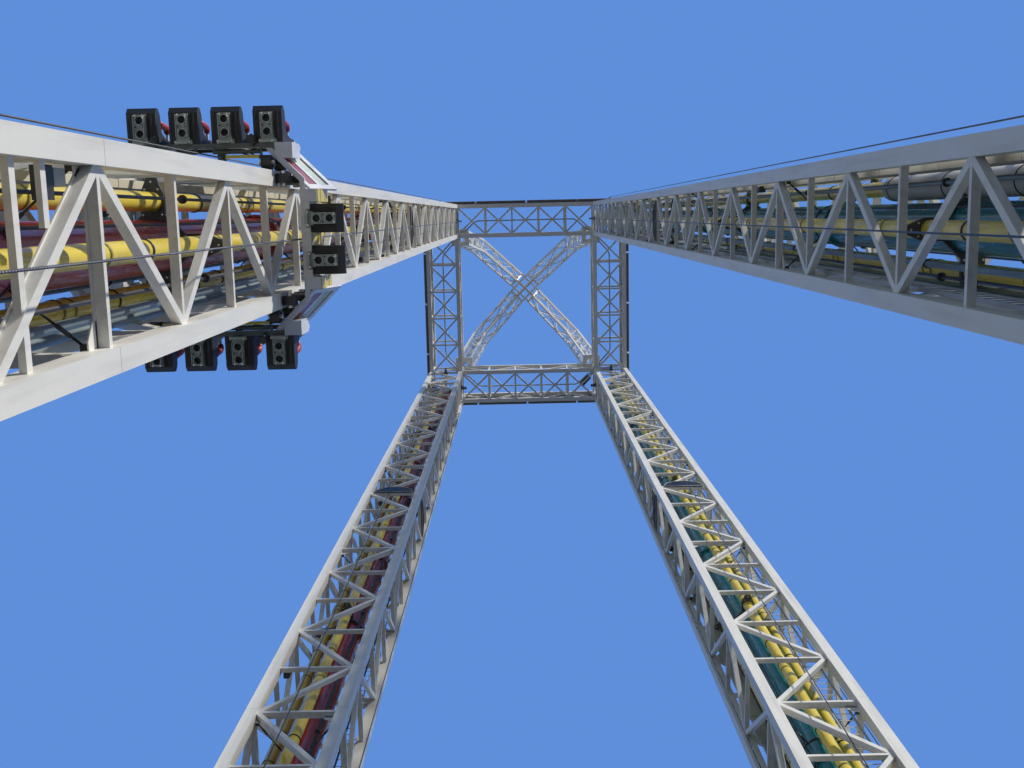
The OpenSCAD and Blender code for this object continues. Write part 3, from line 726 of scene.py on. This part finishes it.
bolts("splice_bolts", spots, 6, 0.0016, 0.0045, zinc, "tower_white")

# Boards round the ring. Blank black sheet in a white pressed frame, with a row of
# pop rivets along the top and the bottom.
board_paint = paint("board_black", (0.022, 0.023, 0.028), (0.09, 0.085, 0.08), rough=0.34,
                    streaks=0.7)
dress(board_paint, "sign_boards")
board_t = 0.018
pitch = (2 * half + tower_w + board_t) / 4
gap = 0.009
wide = pitch - gap
tall = panel_h - 0.020
low_z = ring_z + 0.010
outer = -half - tower_w / 2 - board_t
edge_w = 0.005
lip_w = 0.002
lip_z = 0.0012
frames = bmesh.new()
spots = []
faces = []
for i in range(4):
    turn = quarter(i)
    for k in range(4):
        x0 = -half - tower_w / 2 + k * pitch + gap / 2
        lay = turn @ standing(x0, outer, low_z, way=-1)
        for strip in (oblong(0, wide, 0, edge_w), oblong(0, wide, tall - edge_w, tall),
                      oblong(0, edge_w, edge_w, tall - edge_w),
                      oblong(wide - edge_w, wide, edge_w, tall - edge_w)):
            add_plate(frames, lay, strip, 0.0016)
        for x in (x0, x0 + wide - lip_w):
            add_plate(frames, turn @ shift(x, outer, low_z - lip_z), oblong(0, lip_w, 0, board_t),
                      tall + 2 * lip_z)
        spots += [turn @ Vector((x0 + wide * n / 13, outer, low_z + z))
                  for n in range(1, 13) for z in (0.009, tall - 0.009)]
        faces += [turn.to_3x3() @ Vector((0, -1, 0))] * 24
placed("board_frames", frames, white)
bolts("board_rivets", spots, 8, 0.0012, 0.0016, zinc, "board_black", facing=faces)

# Feet of the peak arms. Each is an open frame of plate on the four post heads, with
# three bolts along each side.
foot_r = 0.630
top_z = post_box[1].z + 0.010
spots = []
for x, y in circle_points(4, foot_r, math.radians(45)):
    for u in (-0.030, 0.0, 0.030):
        for v in (-0.0535, 0.0535):
            spots += [(x + u, y + v, top_z + 0.002), (x + v, y + u, top_z + 0.002)]
bolts("arm_foot_bolts", spots, 6, 0.0028, 0.0040, zinc, "tower_white")

# Joints of the peak arms. At the kink and at the hub the chords of an arm end in a
# diamond frame, and bolts through the frame hold the next stretch.
peak_z = 8.920
kink_r = 0.510
kink_z = top_z + 0.68 * (peak_z - top_z)
arm_w = 0.100
chord_w = 0.014
chord_r = (arm_w - chord_w) / math.sqrt(2)
hub_r = arm_w / math.sqrt(2) + chord_w + 0.010
steep = math.atan2(kink_z - top_z, kink_r - foot_r)
upper = math.atan2(peak_z - kink_z, hub_r - kink_r)
mitre = (steep + upper) / 2 - math.pi / 2
joints = ((kink_r, kink_z, math.cos(mitre), math.sin(mitre),
           chord_r / math.cos(mitre + math.pi / 2 - steep)),
          (hub_r + 0.004, peak_z, 0.0, 1.0, chord_r / math.cos(math.pi - upper)))
spots = []
faces = []
for i in range(4):
    turn = Matrix.Rotation(math.radians(45 + 90 * i), 4, "Z")
    for r, z, run, rise, reach in joints:
        for share in (0.20, 0.28, 0.72, 0.80):
            for u in (-reach * share, reach * share):
                for y in (chord_r * (share - 1), chord_r * (1 - share)):
                    spots.append(turn @ Vector((r + u * run, y, z + u * rise)))
                    faces.append(turn.to_3x3() @ Vector((-rise, 0, run)))
bolts("arm_joint_bolts", spots, 6, 0.0026, 0.0130, zinc, "tower_white", facing=faces)

# Car frames. Square tube welded into two rings, white outside. The long beams and the inside
# are painted dark grey-green: painted shade where they lie in shadow, with grease and rubber dust
# on them too.
car_white = paint("car_white", (0.76, 0.78, 0.80), (0.34, 0.33, 0.30), rough=0.3, streaks=0.35,
                  coat=0.2)
nodes = car_white.node_tree.nodes
links = car_white.node_tree.links


def figure(operation, *values):
    step = nodes.new("ShaderNodeMath")
    step.operation = operation
    for socket, value in zip(step.inputs, values):
        if isinstance(value, float):
            socket.default_value = value
        else:
            links.new(value, socket)
    return step.outputs["Value"]


place = nodes.new("ShaderNodeTexCoord")
split = nodes.new("ShaderNodeSeparateXYZ")
links.new(place.outputs["Object"], split.inputs["Vector"])
across, along = (figure("ABSOLUTE", figure("SUBTRACT", figure("ABSOLUTE", value), half))
                 for value in (split.outputs["X"], split.outputs["Y"]))
# Painted shade: the inside of the frame and its long beams are tinted dark grey-green where shadow
# falls on them.
inner_shade = figure("MULTIPLY", figure("LESS_THAN", figure("ADD", across, along), 0.2385),
                figure("LESS_THAN", across, 0.1465))
beam_shade = figure("MULTIPLY", figure("GREATER_THAN", along, 0.1455),
              figure("LESS_THAN", across, 0.1105))
shade_tint = nodes.new("ShaderNodeMix")
shade_tint.data_type = "RGBA"
shade_tint.blend_type = "MULTIPLY"
shade_tint.inputs["B"].default_value = (0.085, 0.105, 0.090, 1.0)
base = nodes["Principled BSDF"].inputs["Base Color"]
links.new(base.links[0].from_socket, shade_tint.inputs["A"])
links.new(figure("MAXIMUM", inner_shade, beam_shade), shade_tint.inputs["Factor"])
links.new(shade_tint.outputs["Result"], base)
dress(car_white, *[name + "_car_frame" for name in TOWERS])
car_tube = 0.008
car_h = 0.104
frame_x = 0.147
frame_y = 0.146
stands = {name: shift(sx * half, sy * half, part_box(name + "_car_frame")[0].z + 0.003)
          for name, (sx, sy) in TOWERS.items()}

# Running gear of the cars. Black polyurethane tyres on steel axles roll on the posts,
# grey-green tubes and two yellow stop bars stiffen each long side, and rollers guide hoses.
rubber = paint("tyre_rubber", (0.020, 0.020, 0.021), (0.09, 0.085, 0.075), rough=0.6, grain=0.4)
green = paint("beam_green", (0.065, 0.080, 0.068), (0.11, 0.10, 0.08), rough=0.45)
tube_y = -0.1402
tube_z = 0.0042
tube_x = 0.0868
roller_x = 0.0765
roller_z = -0.0040
for name, stand in stands.items():
    tubes = bmesh.new()
    stops = bmesh.new()
    wheels = []
    wheel_faces = []
    rollers = []
    for i in range(4):
        turn = stand @ quarter(i)
        wheels += [turn @ Vector((x, -0.1225, z)) for x in (-post_c, post_c)
                   for z in (car_tube / 2, car_h - car_tube / 2)]
        wheel_faces += [turn.to_3x3() @ Vector((1, 0, 0))] * 4
    for i in (0, 2):
        for x in (-1, 1):
            turn = stand @ quarter(i)
            add_tube(tubes, turn, [(x * u, tube_y, tube_z) for u in (0.0125, 0.0500, tube_x)],
                     0.0030)
            add_tube(tubes, turn, [(x * 0.0150, y, tube_z) for y in (tube_y, -0.1475)], 0.0024)
            for u, y, z in ((0.030, -0.1300, 0.0085), (0.045, -0.1250, 0.0950)):
                add_tube(tubes, turn, [(x * tube_x, y, z), (x * u, -0.1460, z)], 0.0012, sides=8)
            add_plate(stops, turn @ shift(x * 0.0600 - 0.0268, -0.1352, -0.0005),
                      oblong(0, 0.0536, 0, 0.0050), 0.0055)
            rollers.append(turn @ Vector((x * roller_x, -0.1600, roller_z)))
            add_tube(tubes, turn, [(x * roller_x, y, roller_z) for y in (-0.1500, -0.1675)], 0.0022)
            add_tube(tubes, turn, [(x * roller_x, -0.1510, z) for z in (-0.0050, 0.0030)], 0.0022)
    body = name + "_car"
    bolts(name + "_tyres", wheels, 28, 0.0122, 0.0150, rubber, "dark_steel", body,
          facing=wheel_faces)
    bolts(name + "_axles", wheels, 6, 0.0040, 0.0240, zinc, "dark_steel", body,
          facing=wheel_faces)
    bolts(name + "_rollers", rollers, 24, 0.0070, 0.0110, rubber, "dark_steel", body,
          facing=[(0, 1, 0)] * len(rollers))
    placed(name + "_inner_tubes", tubes, green, body)
    placed(name + "_stop_bars", stops, yellow, body)


# Corner panels of the cars. A red strip fills the lower slot of each white panel and a
# pale green strip the upper one, each on a black backing sheet that shows round it.
def leaning(x0, x1, y0, y1):
    """An oblong whose ends lean as far as the panel does."""
    s = math.sin(panel_lean)
    return [(x + y * s, y) for x, y in oblong(x0, x1, y0, y1)]


strip_red = paint("strip_red", (0.32, 0.022, 0.040), (0.20, 0.10, 0.10), rough=0.3, streaks=0.4,
                  coat=0.3)
strip_green = paint("strip_green", (0.50, 0.60, 0.54), (0.30, 0.30, 0.27), streaks=0.4)
panel_lean = math.radians(12)
panel_l = (frame_y - 0.083) * math.sqrt(2)
panel_mid = (car_h - 0.008) / 2
sheet_end = 0.0095
strip_end = 0.0115
red_slot = (0.0115, panel_mid - 0.0075)
green_slot = (panel_mid + 0.0055, 2 * panel_mid - 0.0135)
for name, stand in stands.items():
    sheets = bmesh.new()
    reds = bmesh.new()
    greens = bmesh.new()
    for mx in (-1, 1):
        for my in (-1, 1):
            lay = (stand @ Matrix.Diagonal((mx, my, 1, 1))
                   @ shift(frame_x - 0.048, 0.003 - frame_y, 0.003)
                   @ Matrix.Rotation(math.pi / 4, 4, "Z") @ Matrix.Rotation(panel_lean, 4, "X")
                   @ shift(0, 0.002, 0) @ Matrix.Rotation(math.pi / 2, 4, "X"))
            for slot in (red_slot, green_slot):
                add_plate(sheets, lay @ shift(0, 0, 0.0004),
                          leaning(sheet_end, panel_l - sheet_end, *slot), 0.0008)
            for form, y0, y1 in ((reds, 0.0185, panel_mid - 0.0085),
                                 (greens, panel_mid + 0.0065, 2 * panel_mid - 0.0205)):
                add_plate(form, lay @ shift(0, 0, 0.0012),
                          leaning(strip_end, panel_l - strip_end, y0, y1), 0.0018)
    body = name + "_car"
    placed(name + "_panel_backs", sheets, black, body)
    placed(name + "_red_strips", reds, strip_red, body)
    placed(name + "_green_strips", greens, strip_green, body)

# Side walls of the cars. Yellow sheets with pressed ribs stand between and beside the
# seats of each short row, and white covers with an upstand close the beam below them.
wall_out = 0.1582
end_out = 0.1741
wall_top = 0.0980
cover_y = (-0.1625, -0.1480)
wall_spans = ((-0.0098, 0.0098, wall_out, 0.0040), (-0.0596, -0.0572, wall_out, 0.0040),
              (0.0572, 0.0596, wall_out, 0.0040), (-0.0800, -0.0600, end_out, 0.0050),
              (0.0600, 0.0800, end_out, 0.0050))
for name, stand in stands.items():
    walls = bmesh.new()
    covers = bmesh.new()
    for i in (1, 3):
        turn = stand @ quarter(i)
        for x0, x1, out, low in wall_spans:
            lay = turn @ standing(0, -out, 0, way=-1)
            add_plate(walls, lay, oblong(x0, x1, low, wall_top), 0.0012)
            for z in (0.0300, 0.0720):
                add_plate(walls, lay, oblong(x0, x1, z - 0.0012, z + 0.0012), 0.0018)
        for x0, x1 in ((-0.0600, -0.0480), (-0.0190, 0.0190), (0.0480, 0.0600)):
            add_plate(covers, turn @ shift(0, 0, -0.0024), oblong(x0, x1, *cover_y), 0.0024)
            add_plate(covers, turn @ shift(0, 0, -0.0010),
                      oblong(x0, x1, cover_y[0], cover_y[0] + 0.0015), 0.0038)
    body = name + "_car"
    placed(name + "_side_walls", walls, yellow, body)
    placed(name + "_beam_covers", covers, white, body)


# Seat brackets. Grey-green cast arms, with machined rims round the two large holes, a
# flange down each edge, two bolts at each end, and two drilled holes between them.
def seat_frames(stand, row):
    """Matrices to the root of each seat of a row: X along the row, -Y outwards."""
    quarters, count, out = rows[row]
    base = stand @ quarter(quarters) @ shift(0, -frame_y - car_tube - out, 0)
    return [base @ shift((i - (count - 1) / 2) * seat_pitch, 0, 0) for i in range(count)]


cast = paint("bracket_cast", (0.40, 0.45, 0.40), (0.20, 0.20, 0.17), rough=0.42, streaks=0.4,
             metal=0.15, grain=0.4)
rim_grey = paint("bracket_rim", (0.60, 0.64, 0.60), (0.30, 0.30, 0.27), rough=0.3, streaks=0.3,
                 metal=0.3)
dress(cast, *[name + "_seat_brackets" for name in TOWERS])
seat_pitch = 0.067
rows = {"front": (0, 4, 0.0), "right": (1, 2, 0.001), "back": (2, 4, 0.0), "left": (3, 2, 0.001)}
hole_y = (-0.017, -0.038)
flange_t = 0.0012
for name, stand in stands.items():
    flanges = bmesh.new()
    rims = []
    heads = []
    holes = []
    for row in rows:
        for seat in seat_frames(stand, row):
            rims += [seat @ Vector((0, y, 0.0013)) for y in hole_y]
            for x in (-1, 1):
                heads += [seat @ Vector((x * 0.0105, -0.0032, -0.0018)),
                          seat @ Vector((x * 0.0060, -0.0452, -0.0016))]
                holes.append(seat @ Vector((x * 0.0062, -0.0275, -0.0012)))
            for x in (-0.0090, 0.0090 - flange_t):
                add_plate(flanges, seat @ shift(x, 0, -0.0048),
                          oblong(0, flange_t, -0.0460, -0.0100), 0.0040)
    body = name + "_car"
    placed(name + "_bracket_flanges", flanges, cast, body)
    hoops(name + "_bracket_rims", rims, 26, 0.0067, 0.0009, 0.0062, rim_grey, "bracket_grey", body)
    bolts(name + "_bracket_bolts", heads, 6, 0.0016, 0.0020, zinc, "bracket_grey", body)
    bolts(name + "_bracket_holes", holes, 14, 0.0014, 0.0006, black, "dark_steel", body)


# Seats. Black moulded shells with ribs under the pan, and in each one a black vinyl
# cushion, a back pad and a headrest, all crowned, with sewn channels.
def add_cushion(form, wide, deep, thick, channels, matrix, n=12):
    """A crowned pad on the local XY plane: both skins meet in a seam round the edge."""
    edge = {}
    for side in (1, -1):
        grid = []
        for i in range(n + 1):
            line = []
            for j in range(n + 1):
                if (i, j) not in edge or side > 0:
                    u, v = 2 * i / n - 1, 2 * j / n - 1
                    crown = math.sqrt(max(0.0, (1 - u ** 6) * (1 - v ** 6)))
                    pull = 1 - 0.10 * (u * v) ** 2
                    sewn = 1 - 0.22 * abs(math.cos(math.pi * channels * (v + 1) / 2)) ** 12
                    height = thick * crown * sewn if side > 0 else -0.10 * thick * crown
                    spot = Vector((u * wide / 2 * pull, v * deep / 2 * pull, height))
                    vert = form.verts.new(matrix @ spot)
                    if i in (0, n) or j in (0, n):
                        edge[i, j] = vert
                else:
                    vert = edge[i, j]
                line.append(vert)
            grid.append(line)
        for i in range(n):
            for j in range(n):
                form.faces.new((grid[i][j], grid[i + 1][j], grid[i + 1][j + 1], grid[i][j + 1]))


seat_black = paint("seat_black", (0.009, 0.009, 0.011), (0.030, 0.029, 0.028), rough=0.55,
                   streaks=0.25, grain=0.5)
vinyl = paint("pad_vinyl", (0.020, 0.020, 0.023), (0.05, 0.046, 0.043), rough=0.5, streaks=0.2,
              grain=0.9)
dress(seat_black, *[name + "_seats" for name in TOWERS])
upright = standing(0, 0, 0, way=-1)
pan_tilt = Matrix.Rotation(math.radians(-6.7), 4, "X")
rib_y = (-0.0480, -0.0060)
for name, stand in stands.items():
    cushions = bmesh.new()
    ribs = bmesh.new()
    for row in rows:
        for seat in seat_frames(stand, row):
            for wide, deep, thick, channels, lay in (
                    (0.0335, 0.0350, 0.0060, 3, shift(0, -0.0340, 0.0146) @ pan_tilt),
                    (0.0335, 0.0400, 0.0052, 4, shift(0, -0.0085, 0.0460) @ upright),
                    (0.0230, 0.0210, 0.0064, 1, shift(0, -0.0075, 0.0795) @ upright)):
                add_cushion(cushions, wide, deep, thick, channels, seat @ lay)
            lay = seat @ shift(0, 0, 0.0022)
            for x in (-0.0185, -0.0125, 0.0113, 0.0173):
                add_plate(ribs, lay, oblong(x, x + 0.0012, *rib_y), 0.0020)
            add_plate(ribs, lay, oblong(-0.0200, 0.0200, rib_y[0] - 0.0014, rib_y[0]), 0.0020)
    body = name + "_car"
    pads = placed(name + "_seat_pads", cushions, vinyl, body, smooth=True)
    placed(name + "_seat_ribs", ribs, seat_black, body)

# Restraints. White bent tube on one shaft for each row, with a red padded sleeve on each
# shoulder bar, sewn in channels, and a black rubber grip across the lap.
pad_red = paint("pad_red", (0.40, 0.016, 0.024), (0.14, 0.02, 0.02), rough=0.46, streaks=0.3,
                grain=0.9)
hinge = shift(0, -0.0045, 0.098)
shoulder = 0.011
lap_y = -0.0342
lap_z = -0.0470
arm_line = [(-shoulder, -d, z) for d, z in (
    (0.0, 0.0), (0.0035, 0.0026), (0.0090, 0.0036), (0.0235, 0.0036), (0.0272, 0.0024),
    (0.0296, -0.0012), (0.0306, -0.0060), (0.0334, -0.0390))]
arm_line += [(-0.0098, -0.0340, -0.0440), (-0.0065, lap_y, -0.0466)]
tube_line = arm_line + [(0.0, lap_y, lap_z)] + [(-x, y, z) for x, y, z in reversed(arm_line)]
sleeve_line = [(0.0185, 0.0034), (0.0205, 0.0032), (0.0235, 0.0026), (0.0265, 0.0012),
               (0.0288, -0.0020)]
sleeve_line += [(0.0298 + 0.0032 * k / 10, -0.0050 - 0.0300 * k / 10) for k in range(11)]
sleeve_line += [(0.0334, -0.0370)]
sleeve_r = [0.0030, 0.0046, 0.0054, 0.0057, 0.0056]
sleeve_r += [0.0048 if k % 3 == 2 else 0.0056 for k in range(11)] + [0.0032]
for name, stand in stands.items():
    for row in rows:
        tubes = bmesh.new()
        sleeves = bmesh.new()
        grips = bmesh.new()
        seats = [seat @ hinge for seat in seat_frames(stand, row)]
        shaft = [seats[0] @ Vector((-0.024, 0, 0)), seats[-1] @ Vector((0.024, 0, 0))]
        add_tube(tubes, Matrix(), shaft, 0.0029, sides=16)
        for seat in seats:
            add_tube(tubes, seat, tube_line, 0.0023)
            add_tube(grips, seat, [(x, lap_y, lap_z) for x in (-0.0062, -0.0058, 0.0058, 0.0062)],
                     [0.0026, 0.0032, 0.0032, 0.0026], sides=12)
            for x in (-shoulder, shoulder):
                add_tube(sleeves, seat, [(x, -d, z) for d, z in sleeve_line], sleeve_r, sides=16)
        title = name + "_" + row + "_restraint"
        body = title + "_bar"
        placed(title + "_tubes", tubes, white, body, smooth=True)
        placed(title + "_grips", grips, rubber, body, smooth=True)
        pads = placed(title + "_pads", sleeves, pad_red, body, smooth=True)
        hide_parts(name + "_" + row + "_restraints")
